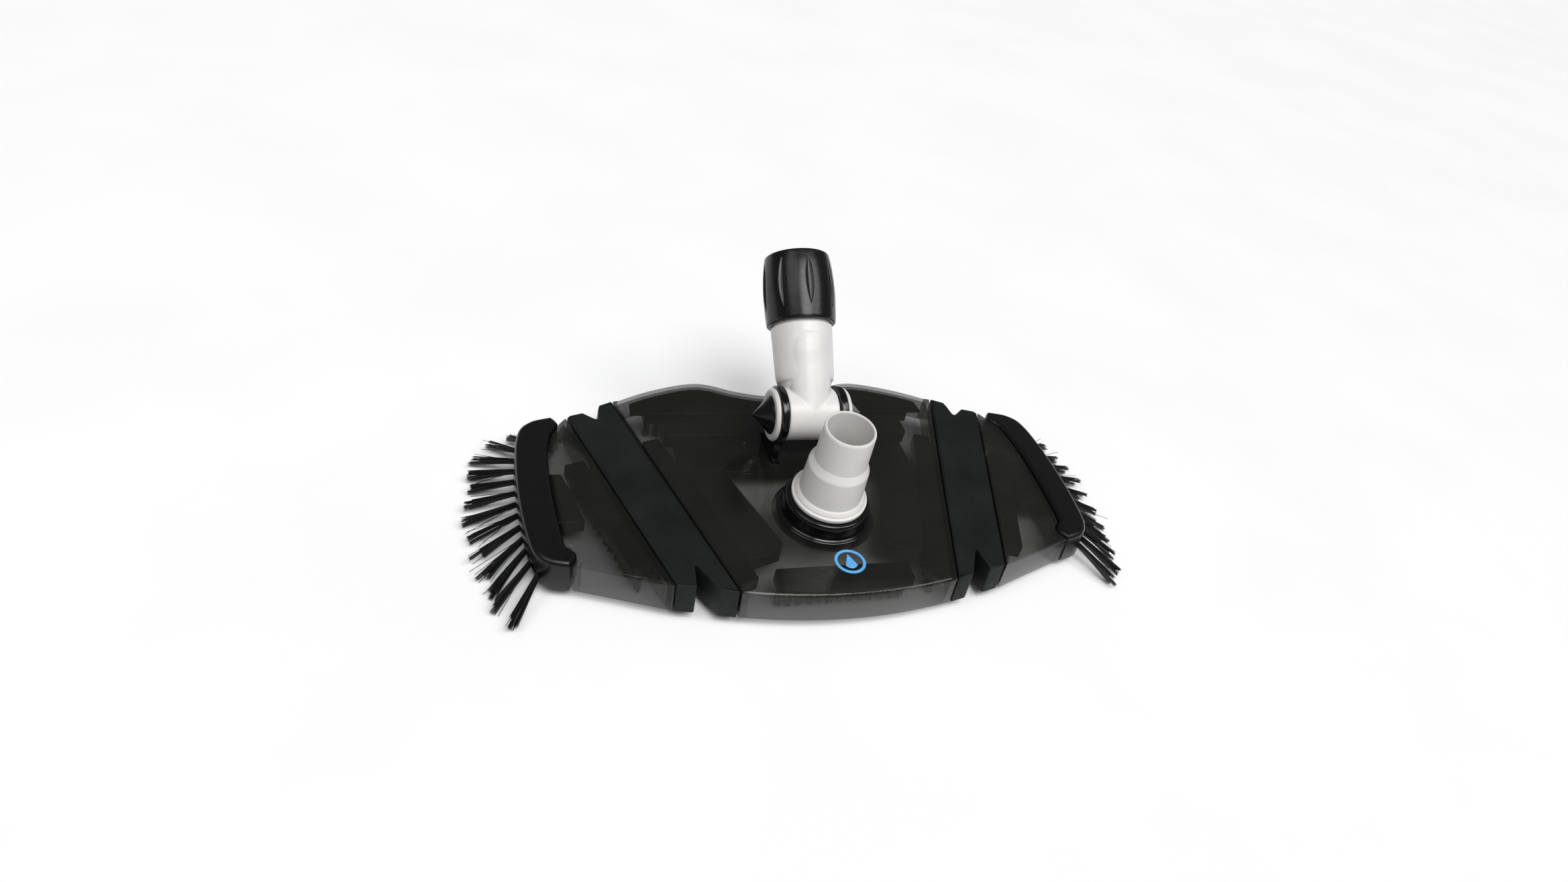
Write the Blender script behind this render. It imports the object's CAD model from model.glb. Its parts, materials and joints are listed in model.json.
import json
import logging
import math
import random
from dataclasses import dataclass, field
from enum import Enum
from typing import Callable, ClassVar, Iterable, Optional, Sequence

import bmesh
import bpy
from mathutils import Matrix, Vector


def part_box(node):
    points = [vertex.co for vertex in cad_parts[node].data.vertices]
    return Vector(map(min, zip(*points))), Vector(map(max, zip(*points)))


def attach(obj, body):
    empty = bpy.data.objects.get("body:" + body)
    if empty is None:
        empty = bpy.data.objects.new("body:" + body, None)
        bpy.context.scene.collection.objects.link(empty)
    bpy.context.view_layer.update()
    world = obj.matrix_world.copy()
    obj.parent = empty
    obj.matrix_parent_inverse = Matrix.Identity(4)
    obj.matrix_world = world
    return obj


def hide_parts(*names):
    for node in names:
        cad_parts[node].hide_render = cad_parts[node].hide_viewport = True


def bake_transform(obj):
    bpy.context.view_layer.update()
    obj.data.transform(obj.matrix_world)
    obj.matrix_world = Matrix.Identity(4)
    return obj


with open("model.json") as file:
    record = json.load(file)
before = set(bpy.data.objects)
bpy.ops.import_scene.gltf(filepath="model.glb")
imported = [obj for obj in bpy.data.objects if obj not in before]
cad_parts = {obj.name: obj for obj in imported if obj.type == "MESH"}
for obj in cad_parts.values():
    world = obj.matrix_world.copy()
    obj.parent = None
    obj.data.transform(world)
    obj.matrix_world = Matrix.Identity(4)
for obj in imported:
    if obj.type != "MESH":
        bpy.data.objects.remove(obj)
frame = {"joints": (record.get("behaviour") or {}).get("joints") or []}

LOG = logging.getLogger("vacuum_head")
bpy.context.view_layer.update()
MM = 0.001
MITRE = 0.45  # keeps the offset of a sharp corner from running away
SHALLOW = 4.5  # the rounded upper edge of every shell stays above this depth
Pair = tuple[float, float]
Triple = tuple[float, float, float]
Path = list[Vector]
BMesh = bmesh.types.BMesh
Socket = bpy.types.NodeSocket


# ---- Places from the frame ----


def joint_named(name: str) -> dict:
    """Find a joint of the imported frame.

    Args:
        name: the joint's name.

    Returns:
        The joint's record.
    """
    return next(joint for joint in frame["joints"] if joint["name"] == name)


@dataclass(frozen=True)
class Datum:
    """The matrices that take each drawing frame, in millimetres, into the row frame, in metres."""

    pivot_y: float = 100.0
    pivot_z: float = 29.75

    def head(self) -> Matrix:
        """Return the matrix of the head's drawing frame."""
        pivot = Vector(joint_named("handle_tilt")["pos_m"])
        origin = pivot - Vector((0.0, self.pivot_y, self.pivot_z)) * MM
        return Matrix.Translation(origin) @ Matrix.Scale(MM, 4)

    def along(self, point_joint: str, axis_joint: str) -> Matrix:
        """Return a drawing frame that starts at one joint's point, with z along another joint's axis.

        Args:
            point_joint: the joint whose point is the origin.
            axis_joint: the joint whose axis is z; the axis lies in the YZ plane.
        """
        axis = Vector(joint_named(axis_joint)["axis"])
        lean = math.atan2(axis.y, axis.z)
        turn = Matrix.Rotation(-lean, 4, "X")
        return Matrix.Translation(Vector(joint_named(point_joint)["pos_m"])) @ turn @ Matrix.Scale(MM, 4)


HEAD = Datum().head()
HANDLE = Datum().along("handle_tilt", "collar_twist")
SWIVEL = Datum().along("connector_swivel", "connector_swivel")
ACROSS = Matrix.Rotation(math.pi / 2, 4, "Y")  # turns a piece drawn along z to lie along x
MIRROR = Matrix.Scale(-1, 4, Vector((1, 0, 0)))


class Side(Enum):
    """The two ends of the head, with the sign of their x."""

    LEFT = -1
    RIGHT = 1

    @property
    def word(self) -> str:
        """Return the side's name as it starts the names of its pieces."""
        return self.name.lower()

    @property
    def wing(self) -> str:
        """Return the body of the wing on this side."""
        return f"{self.word}_wing"

    @property
    def placed(self) -> Matrix:
        """Return the drawing frame of this side, in which x grows outwards."""
        return HEAD if self is Side.RIGHT else HEAD @ MIRROR


# ---- Finishes ----


class NodeSheet:
    """A material's node tree, with short ways to add and join nodes."""

    def __init__(self, name: str) -> None:
        """Start a material with a Principled shader.

        Args:
            name: the material's name.
        """
        self.material = bpy.data.materials.new(name)
        self.material.use_nodes = True
        self.tree = self.material.node_tree
        self.shader = self.tree.nodes["Principled BSDF"]
        self.place = self.node("ShaderNodeTexCoord").outputs["Object"]

    def node(self, kind: str, **settings: object) -> bpy.types.Node:
        """Add a node.

        Args:
            kind: the node's type name.
            settings: attributes to set on it.

        Returns:
            The node.
        """
        made = self.tree.nodes.new(kind)
        for key, value in settings.items():
            setattr(made, key, value)
        return made

    def link(self, start: Socket, end: Socket) -> None:
        """Join an output to an input."""
        self.tree.links.new(start, end)

    def feed(self, name: str, start: Socket) -> None:
        """Join an output to one of the shader's inputs."""
        self.link(start, self.shader.inputs[name])

    def noise(self, size_mm: float, detail: float = 3.0, stretch: Triple = (1, 1, 1)) -> Socket:
        """Add a noise pattern on the piece's own coordinates.

        Args:
            size_mm: the size of its blotches, in millimetres.
            detail: its number of octaves.
            stretch: how much finer the pattern is along each axis.

        Returns:
            The factor, from 0 to 1.
        """
        mapping = self.node("ShaderNodeMapping")
        mapping.inputs["Scale"].default_value = stretch
        made = self.node("ShaderNodeTexNoise")
        made.inputs["Scale"].default_value = 1.0 / (size_mm * MM)
        made.inputs["Detail"].default_value = detail
        self.link(self.place, mapping.inputs["Vector"])
        self.link(mapping.outputs["Vector"], made.inputs["Vector"])
        return made.outputs["Fac"]

    def span(self, factor: Socket, low: float, high: float) -> Socket:
        """Stretch the middle of a noise factor onto a range.

        Args:
            factor: the factor to map.
            low: the value at 0.3.
            high: the value at 0.7.

        Returns:
            The mapped value.
        """
        made = self.node("ShaderNodeMapRange")
        for key, value in (("From Min", 0.3), ("From Max", 0.7), ("To Min", low), ("To Max", high)):
            made.inputs[key].default_value = value
        self.link(factor, made.inputs["Value"])
        return made.outputs["Result"]

    def colours(self, factor: Socket, stops: Sequence[tuple[float, Triple]]) -> Socket:
        """Turn a factor into a colour.

        Args:
            factor: the factor to colour.
            stops: places from 0 to 1, each with its colour.

        Returns:
            The colour.
        """
        ramp = self.node("ShaderNodeValToRGB")
        elements = ramp.color_ramp.elements
        while len(elements) < len(stops):
            elements.new(0.5)
        for element, (place, colour) in zip(elements, stops):
            element.position = place
            element.color = (*colour, 1.0)
        self.link(factor, ramp.inputs["Fac"])
        return ramp.outputs["Color"]

    def bump(self, height: Socket, depth_mm: float, over: Optional[Socket] = None) -> Socket:
        """Raise a surface by a height pattern.

        Args:
            height: the pattern, from 0 to 1.
            depth_mm: how deep it goes.
            over: the normal of a bump below this one.

        Returns:
            The normal.
        """
        made = self.node("ShaderNodeBump")
        made.inputs["Distance"].default_value = depth_mm * MM
        made.inputs["Strength"].default_value = 1.0
        self.link(height, made.inputs["Height"])
        if over:
            self.link(over, made.inputs["Normal"])
        return made.outputs["Normal"]

    def set(self, **values: object) -> None:
        """Set constant inputs of the shader; an underscore in a name stands for a space."""
        for key, value in values.items():
            self.shader.inputs[key.replace("_", " ")].default_value = value


@dataclass(frozen=True)
class Finish:
    """A finish that pieces share. Its material is made once."""

    name: str
    slot: str

    def build(self) -> bpy.types.Material:
        """Make the material."""
        raise NotImplementedError

    @property
    def material(self) -> bpy.types.Material:
        """Return the finish's material, making it at its first use."""
        return bpy.data.materials.get(self.name) or self.build()


@dataclass(frozen=True)
class MouldedPlastic(Finish):
    """Opaque injection-moulded plastic with slight flow marks, fine grain and handling marks."""

    tone: Triple = (0.5, 0.5, 0.5)
    shade: Triple = (0.45, 0.45, 0.45)
    rough: Pair = (0.3, 0.4)
    grain_mm: float = 0.35
    grain_depth_mm: float = 0.01
    coat: float = 0.0
    specular: float = 0.5
    flow_mm: float = 22.0
    marks_mm: float = 6.0
    wave_mm: float = 14.0
    wave_depth_mm: float = 0.02

    def build(self) -> bpy.types.Material:
        """Make the material."""
        sheet = NodeSheet(self.name)
        flow = sheet.noise(self.flow_mm, 4.0, (1, 1.6, 0.7))
        sheet.feed("Base Color", sheet.colours(flow, [(0.3, self.shade), (0.7, self.tone)]))
        marks = sheet.noise(self.marks_mm, 6.0, (1, 3.0, 1))
        sheet.feed("Roughness", sheet.span(marks, *self.rough))
        waves = sheet.bump(sheet.noise(self.wave_mm, 1.0), self.wave_depth_mm)
        grain = sheet.bump(sheet.noise(self.grain_mm, 2.0), self.grain_depth_mm, over=waves)
        sheet.feed("Normal", grain)
        sheet.set(Coat_Weight=self.coat, Coat_Roughness=0.06, IOR=1.49, Specular_IOR_Level=self.specular)
        return sheet.material


@dataclass(frozen=True)
class SmokePlastic(Finish):
    """Glossy see-through plastic with a grey-brown tint, faint haze and a few dust specks."""

    tint: Triple = (0.0115, 0.0112, 0.0090)
    haze: Triple = (0.0185, 0.018, 0.0145)
    cover: float = 0.46

    def build(self) -> bpy.types.Material:
        """Make the material."""
        sheet = NodeSheet(self.name)
        cloud = sheet.noise(45.0, 3.0)
        body = sheet.colours(cloud, [(0.35, self.tint), (0.65, self.haze)])
        dust = sheet.noise(1.3, 1.0)
        speck = sheet.colours(dust, [(0.80, (0, 0, 0)), (0.84, (0.12, 0.115, 0.105))])
        add = sheet.node("ShaderNodeMix", data_type="RGBA", blend_type="ADD")
        add.inputs["Factor"].default_value = 1.0
        sheet.link(body, add.inputs["A"])
        sheet.link(speck, add.inputs["B"])
        sheet.feed("Base Color", add.outputs["Result"])
        sheet.feed("Roughness", sheet.span(sheet.noise(14.0, 5.0), 0.07, 0.16))
        sheet.feed("Normal", sheet.bump(sheet.noise(16.0, 1.0), 0.05))
        sheet.set(Alpha=self.cover, IOR=1.5, Coat_Weight=0.25, Coat_Roughness=0.04)
        sheet.material.surface_render_method = "BLENDED"
        return sheet.material


@dataclass(frozen=True)
class FlexRubber(Finish):
    """Matte black rubber with a fine bloom and a soft pebble."""

    tone: Triple = (0.0062, 0.0078, 0.0073)
    bloom: Triple = (0.0115, 0.0138, 0.0128)

    def build(self) -> bpy.types.Material:
        """Make the material."""
        sheet = NodeSheet(self.name)
        patches = sheet.noise(30.0, 5.0)
        sheet.feed("Base Color", sheet.colours(patches, [(0.35, self.tone), (0.72, self.bloom)]))
        sheet.feed("Roughness", sheet.span(sheet.noise(3.0, 4.0), 0.5, 0.66))
        pebble = sheet.bump(sheet.noise(0.5, 3.0), 0.03)
        sheet.feed("Normal", sheet.bump(sheet.noise(12.0, 1.0), 0.08, over=pebble))
        sheet.set(IOR=1.45, Specular_IOR_Level=0.22)
        return sheet.material


@dataclass(frozen=True)
class NylonFilament(Finish):
    """Black nylon filaments, each a little different from the next."""

    def build(self) -> bpy.types.Material:
        """Make the material."""
        sheet = NodeSheet(self.name)
        island = sheet.node("ShaderNodeNewGeometry").outputs["Random Per Island"]
        stops = [(0.0, (0.004, 0.004, 0.004)), (0.7, (0.010, 0.010, 0.011)), (1.0, (0.028, 0.030, 0.032))]
        sheet.feed("Base Color", sheet.colours(island, stops))
        sheet.feed("Roughness", sheet.span(sheet.noise(2.0, 3.0), 0.28, 0.45))
        sheet.set(IOR=1.53)
        return sheet.material


@dataclass(frozen=True)
class Metal(Finish):
    """Bare or coated metal with a directional or cast texture."""

    tone: Triple = (0.55, 0.55, 0.53)
    shade: Triple = (0.42, 0.42, 0.41)
    metallic: float = 1.0
    rough: Pair = (0.25, 0.4)
    grain_mm: float = 0.3
    grain_depth_mm: float = 0.02

    def build(self) -> bpy.types.Material:
        """Make the material."""
        sheet = NodeSheet(self.name)
        patches = sheet.noise(4.0, 5.0)
        sheet.feed("Base Color", sheet.colours(patches, [(0.3, self.shade), (0.7, self.tone)]))
        sheet.feed("Roughness", sheet.span(sheet.noise(1.2, 4.0), *self.rough))
        sheet.feed("Normal", sheet.bump(sheet.noise(self.grain_mm, 4.0), self.grain_depth_mm))
        sheet.set(Metallic=self.metallic)
        return sheet.material


@dataclass(frozen=True)
class BadgeInk(Finish):
    """Blue print with a slightly uneven film."""

    def build(self) -> bpy.types.Material:
        """Make the material."""
        sheet = NodeSheet(self.name)
        film = sheet.noise(2.5, 4.0)
        stops = [(0.3, (0.085, 0.36, 0.72)), (0.7, (0.12, 0.43, 0.80))]
        sheet.feed("Base Color", sheet.colours(film, stops))
        sheet.feed("Roughness", sheet.span(sheet.noise(1.0, 3.0), 0.3, 0.42))
        return sheet.material


SMOKE = SmokePlastic("smoke_tinted_plastic", "smoke_plastic")
DENSE_SMOKE = SmokePlastic(
    "smoke_tinted_wall", "smoke_plastic", (0.013, 0.013, 0.011), (0.018, 0.018, 0.015), cover=0.86
)
RUBBER = FlexRubber("matte_band_rubber", "band_rubber")
SATIN = MouldedPlastic(
    "satin_black_plastic", "satin_black", tone=(0.0048, 0.0048, 0.0050), shade=(0.0036, 0.0036, 0.0038),
    rough=(0.22, 0.30), grain_mm=0.3, grain_depth_mm=0.004, specular=0.36,
)
GLOSS = MouldedPlastic(
    "gloss_black_plastic", "gloss_black", tone=(0.0035, 0.0035, 0.0037), shade=(0.0025, 0.0025, 0.0026),
    rough=(0.13, 0.20), grain_mm=1.5, grain_depth_mm=0.003, coat=0.1, specular=0.4,
)
WHITE = MouldedPlastic(
    "white_abs_plastic", "white_plastic", tone=(0.70, 0.685, 0.665), shade=(0.645, 0.63, 0.605),
    rough=(0.28, 0.40), grain_mm=0.4, grain_depth_mm=0.008,
)
BRISTLE = NylonFilament("black_nylon_filament", "nylon_bristle")
IRON = Metal(
    "coated_iron", "weight_iron", tone=(0.020, 0.020, 0.021), shade=(0.011, 0.011, 0.012),
    metallic=0.3, rough=(0.35, 0.6), grain_mm=0.8, grain_depth_mm=0.06,
)
STEEL = Metal("brushed_stainless", "stainless_steel")
BLUE = BadgeInk("blue_badge_ink", "badge_blue")


# ---- Paths ----


def flat(pairs: Iterable[Sequence[float]]) -> Path:
    """Return points of the drawing plane as vectors."""
    return [Vector((x, y)) for x, y in pairs]


def curve_through(points: Path, steps: int, closed: bool = False) -> Path:
    """Draw an even, smooth curve through a few points.

    Args:
        points: the points that it passes through.
        steps: the number of steps between one point and the next.
        closed: whether it comes back to its start.

    Returns:
        The curve's points.
    """
    count = len(points)
    spans = count if closed else count - 1
    path: Path = []
    for i in range(spans):
        if closed:
            p0, p1, p2, p3 = (points[(i + k) % count] for k in (-1, 0, 1, 2))
        else:
            p0, p1, p2, p3 = (points[min(max(i + k, 0), count - 1)] for k in (-1, 0, 1, 2))
        for step in range(steps):
            t = step / steps
            bend = 2 * p1 + (p2 - p0) * t + (2 * p0 - 5 * p1 + 4 * p2 - p3) * t**2
            path.append((bend + (3 * p1 - p0 - 3 * p2 + p3) * t**3) / 2)
    return path if closed else [*path, points[-1].copy()]


def rounded(points: Sequence[Sequence[float]], steps: int = 5, closed: bool = True) -> Path:
    """Round the corners of a polyline.

    Args:
        points: x and y of each corner, with its radius as a third number where it is round.
        steps: the number of steps round each corner.
        closed: whether the polyline comes back to its start.

    Returns:
        The polyline with arcs in its corners.
    """
    path: Path = []
    count = len(points)
    for i, point in enumerate(points):
        here = Vector(point[:2])
        radius = point[2] if len(point) > 2 else 0.0
        if radius <= 0 or (not closed and i in (0, count - 1)):
            path.append(here)
            continue
        before = Vector(points[i - 1][:2]) - here
        after = Vector(points[(i + 1) % count][:2]) - here
        half = before.angle(after) / 2
        reach = min(radius / math.tan(half), 0.49 * before.length, 0.49 * after.length)
        start, end = here + before.normalized() * reach, here + after.normalized() * reach
        for step in range(steps + 1):
            t = step / steps
            path.append(start * (1 - t) ** 2 + here * 2 * t * (1 - t) + end * t**2)
    return path


def evenly(path: Path, steps: int) -> Path:
    """Return points spaced evenly along an open path.

    Args:
        path: the path.
        steps: the number of steps from its start to its end.

    Returns:
        The points.
    """
    marks = [0.0]
    for start, end in zip(path, path[1:]):
        marks.append(marks[-1] + (end - start).length)
    found: Path = []
    span = 0
    for step in range(steps + 1):
        far = marks[-1] * step / steps
        while span < len(path) - 2 and marks[span + 1] < far:
            span += 1
        share = (far - marks[span]) / (marks[span + 1] - marks[span])
        found.append(path[span].lerp(path[span + 1], share))
    return found


def normals_of(path: Path) -> Path:
    """Return the outward direction at each point of a counter-clockwise outline, longer at its corners."""
    found: Path = []
    for i, here in enumerate(path):
        before = (here - path[i - 1]).normalized()
        after = (path[(i + 1) % len(path)] - here).normalized()
        sides = [Vector((way.y, -way.x)) for way in (before, after)]
        middle = (sides[0] + sides[1]).normalized()
        found.append(middle / max(MITRE, middle.dot(sides[0])))
    return found


def circle(radius: float, steps: int, x: float = 0.0, y: float = 0.0) -> Path:
    """Return a counter-clockwise circle."""
    angles = (2 * math.pi * i / steps for i in range(steps))
    return [Vector((x + radius * math.cos(a), y + radius * math.sin(a))) for a in angles]


def quarter_round(radius: float, top: float = 0.0, steps: int = 5) -> list[Pair]:
    """Return outset and height of an edge that rounds over from a flat top to an upright side."""
    arc = [(math.pi / 2 * i / steps) for i in range(steps + 1)]
    lead_in = [(-radius - 0.5, top)]
    return lead_in + [(radius * (math.sin(a) - 1), top + radius * (math.cos(a) - 1)) for a in arc]


def gap_to(line: tuple[Pair, Pair], here: Vector) -> float:
    """Return how far a point is from a straight line in plan."""
    start, end = Vector(line[0]), Vector(line[1])
    way = (end - start).normalized()
    return abs((here - start).cross(way))


# ---- Mesh tools ----


@dataclass
class Opening:
    """A hole through a deck: an outline, and the outset and height of each ring from top to bottom."""

    outline: Path
    rings: list[Pair]


@dataclass
class Lathe:
    """A turned shape about z."""

    profile: Path
    steps: int = 96
    closed: bool = True

    def build(self) -> BMesh:
        """Turn the profile into a closed solid.

        Returns:
            The mesh. An open profile starts and ends on the axis.
        """
        bm = bmesh.new()
        verts = [bm.verts.new((p.x, 0, p.y)) for p in self.profile]
        ends = zip(verts, verts[1:] + verts[:1]) if self.closed else zip(verts, verts[1:])
        edges = [bm.edges.new(pair) for pair in ends]
        bmesh.ops.spin(
            bm, geom=[*verts, *edges], cent=(0, 0, 0), axis=(0, 0, 1), dvec=(0, 0, 0),
            angle=2 * math.pi, steps=self.steps, use_merge=True, use_duplicate=False,
        )
        return tidy(bm)


def tidy(bm: BMesh, distance: float = 1e-4) -> BMesh:
    """Merge doubles and point the faces outwards.

    Args:
        bm: the mesh, in millimetres.
        distance: how close two vertices are to be one.

    Returns:
        The same mesh.
    """
    bmesh.ops.remove_doubles(bm, verts=bm.verts, dist=distance)
    bmesh.ops.recalc_face_normals(bm, faces=bm.faces)
    return bm


def turned(points: Sequence[Sequence[float]], steps: int = 96, closed: bool = True, arc: int = 4) -> BMesh:
    """Turn a profile with rounded corners about z.

    Args:
        points: radius, height and corner radius of each point.
        steps: the number of steps round the axis.
        closed: whether the profile comes back to its start.
        arc: the number of steps round each corner.

    Returns:
        The mesh.
    """
    return Lathe(rounded(points, arc, closed), steps, closed).build()


def ring_solid(
    outline: Path,
    rings: Sequence[Pair],
    openings: Sequence[Opening] = (),
    lean: Optional[Callable[[Vector], Vector]] = None,
    depth: Optional[Callable[[Vector], float]] = None,
    soft: Optional[Callable[[Vector], float]] = None,
    edge_rings: int = 7,
) -> BMesh:
    """Build a closed solid over an outline, by pulling its edge through a row of rings.

    Args:
        outline: the counter-clockwise outline.
        rings: outset and height of each ring, from the first flat face to the last.
        openings: holes through both flat faces.
        lean: how far a point of the outline moves sideways for each unit of depth.
        depth: the share of the depth that the rings keep at a point of the outline.
        soft: the share of the rounding of the upper edge that stays at a point of the outline.
        edge_rings: the number of rings that belong to that rounding.

    Returns:
        The mesh.
    """
    bm = bmesh.new()
    spot = bm.verts.layers.int.new("spot")
    top = rings[0][1]

    def places(path: Path, step: int, outset: float, height: float, shaped: bool) -> list[Vector]:
        """Return where each point of a path lies on one ring."""
        found = []
        for here, way in zip(path, normals_of(path)):
            if shaped and soft and step < edge_rings:
                share = soft(here)
                outset, height = rings[step][0] * share, top + (rings[step][1] - top) * share
            level = height * depth(here) if shaped and depth and height < -SHALLOW else height
            shift = lean(here) * -level if shaped and lean else Vector((0, 0))
            at = here + way * outset + shift
            found.append(Vector((at.x, at.y, level)))
        return found

    def pull(path: Path, steps: Sequence[Pair], shaped: bool) -> tuple[list, list]:
        """Pull a closed path through its rings.

        Args:
            path: the path.
            steps: outset and height of each ring.
            shaped: whether lean, depth and soft act on it.

        Returns:
            Its first and its last edges.
        """
        verts = []
        for i, co in enumerate(places(path, 0, *steps[0], shaped)):
            vert = bm.verts.new(co)
            vert[spot] = i
            verts.append(vert)
        first = [bm.edges.new((verts[i - 1], verts[i])) for i in range(len(verts))]
        edges = first
        for step, (outset, height) in enumerate(steps[1:], 1):
            made = bmesh.ops.extrude_edge_only(bm, edges=edges)["geom"]
            fresh = {v for v in made if isinstance(v, bmesh.types.BMVert)}
            target = places(path, step, outset, height, shaped)
            for vert in fresh:
                vert.co = target[vert[spot]]
            edges = [e for e in made if isinstance(e, bmesh.types.BMEdge) and set(e.verts) <= fresh]
        return first, edges

    tops, lows = pull(outline, rings, True)
    for opening in openings:
        top, low = pull(opening.outline, opening.rings, False)
        tops, lows = [*tops, *top], [*lows, *low]
    for edges in (tops, lows):
        bmesh.ops.triangle_fill(bm, use_beauty=True, use_dissolve=False, edges=edges, normal=(0, 0, 1))
    return tidy(bm)


def joined(parts: Iterable[BMesh]) -> BMesh:
    """Put several meshes into one, and free them."""
    whole = bmesh.new()
    for part in parts:
        carrier = bpy.data.meshes.new("carrier")
        part.to_mesh(carrier)
        part.free()
        whole.from_mesh(carrier)
        bpy.data.meshes.remove(carrier)
    return whole


def moved(bm: BMesh, matrix: Matrix) -> BMesh:
    """Transform a mesh and return it; a mirrored mesh is turned right side out again."""
    bmesh.ops.transform(bm, matrix=matrix, verts=bm.verts)
    if matrix.determinant() < 0:
        bmesh.ops.reverse_faces(bm, faces=bm.faces)
    return bm


def shade(bm: BMesh, crease_deg: float) -> None:
    """Shade a mesh smooth, and keep the edges crisp that are sharper than an angle."""
    for face in bm.faces:
        face.smooth = True
    for edge in bm.edges:
        edge.smooth = not (edge.is_manifold and edge.calc_face_angle(0.0) > math.radians(crease_deg))


def publish(
    bm: BMesh,
    name: str,
    finish: Finish,
    body: Optional[str],
    replaces: Sequence[str],
    place: Matrix = HEAD,
    crease_deg: float = 32.0,
) -> bpy.types.Object:
    """Turn a mesh into a finished piece of the head.

    Args:
        bm: the mesh, in millimetres, in its drawing frame; it is freed.
        name: the piece's name.
        finish: its finish.
        body: the body that it rides on, or None where it bends between two.
        replaces: the nodes that it stands for.
        place: the matrix of its drawing frame.
        crease_deg: edges sharper than this stay crisp.

    Returns:
        The piece.
    """
    shade(moved(bm, place), crease_deg)
    mesh = bpy.data.meshes.new(name)
    bm.to_mesh(mesh)
    bm.free()
    mesh.materials.append(finish.material)
    piece = bpy.data.objects.new(name, mesh)
    bpy.context.scene.collection.objects.link(piece)
    if body:
        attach(piece, body)
    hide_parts(*replaces)
    LOG.info("%s: %d faces, in %s", name, len(mesh.polygons), finish.name)
    return piece


def publish_side(
    side: Side, bm: BMesh, name: str, finish: Finish, node: str, body: Optional[str] = None
) -> bpy.types.Object:
    """Turn a mesh into a finished piece of one side.

    Args:
        side: the side, whose word starts the names.
        bm: the mesh, in millimetres, in the side's drawing frame; it is freed.
        name: the rest of the piece's name.
        finish: its finish.
        node: the rest of the name of the node that it stands for.
        body: the body that it rides on, where that is not the wing.

    Returns:
        The piece.
    """
    word = side.word
    return publish(bm, f"{word}_{name}", finish, body or side.wing, [f"{word}_{node}"], side.placed)


# ---- The shell: middle, flex bands, wings and end caps ----


@dataclass
class ShellLines:
    """The lines in plan that the shell's pieces share, on the right side. Counter-clockwise outlines."""

    skirt: float = 20.0
    wall: float = 2.2
    deck: float = 2.4
    seam: float = 0.55
    dense_reach: float = 3.6
    draft: float = 0.075
    front_y: float = -32.5
    front_rise: float = 7.5
    band_in: tuple[Pair, Pair] = ((68.7, -25.3), (119.0, 153.8))
    band_out: tuple[Pair, Pair] = ((105.3, -16.6), (151.2, 136.4))
    fold: tuple[Pair, Pair] = ((91.5, 0.0), (130.0, 133.5))
    rear: tuple[Pair, ...] = (
        (119, 153.8), (106, 160.6), (92, 166.8), (73.6, 172.9), (58, 175.5), (45.5, 173.0), (31, 166.4),
        (13, 161.4), (0, 160.5),
    )
    cap_seam: tuple[Pair, ...] = (
        (159.4, 127), (163.7, 117), (166.3, 92), (166, 60), (163.5, 24), (160.8, 18.3),
    )

    def front_at(self, x: float) -> float:
        """Return y of the bowed front edge of the middle shell at x."""
        return self.front_y + self.front_rise * (x / self.band_in[0][0]) ** 2

    def lean(self, here: Vector) -> Vector:
        """Return the draft of a skirt: it leans out at the front and rear, along the seams at the sides."""
        side = math.copysign(min(1.0, abs(here.x) / self.band_in[0][0]), here.x)
        way = Vector((0.279 * side, 0.96))
        front = here.y < 30 - 0.05 * abs(here.x)
        return way * (-self.draft if front else self.draft)

    def crisp_seams(self, here: Vector) -> float:
        """Return a small share of rounding along the seams with the bands, and all of it elsewhere."""
        out = Vector((abs(here.x), here.y))
        gap = min(gap_to(self.band_in, out), gap_to(self.band_out, out))
        return 0.2 + 0.8 * min(1.0, max(0.0, (gap - 0.8) / 4.0))

    def tray_rings(self, radius: float, deck: float, top: float = 0.0) -> list[Pair]:
        """Return the rings of an upside-down tray: deck, rounded edge, skirt, and back up inside it."""
        lip = 0.5
        return [
            *quarter_round(radius, top),
            (0.0, -self.skirt + lip), (-lip * 0.4, -self.skirt),
            (-self.wall + lip * 0.4, -self.skirt), (-self.wall, -self.skirt + lip),
            (-self.wall, -deck - 0.6), (-self.wall - 0.6, -deck),
        ]


LINES = ShellLines()


def darken_walls(piece: bpy.types.Object, place: Matrix) -> None:
    """Give the walls along the seams, which are seen edge on through the deck, the denser finish.

    Args:
        piece: a shell.
        place: its drawing frame.
    """
    piece.data.materials.append(DENSE_SMOKE.material)
    back = place.inverted()
    for face in piece.data.polygons:
        here = back @ face.center
        out = Vector((abs(here.x), here.y))
        gap = min(gap_to(LINES.band_in, out), gap_to(LINES.band_out, out))
        upright = abs(face.normal.z) < 0.6 and here.z < -1.0
        if gap < LINES.dense_reach and upright:
            face.material_index = 1


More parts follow.
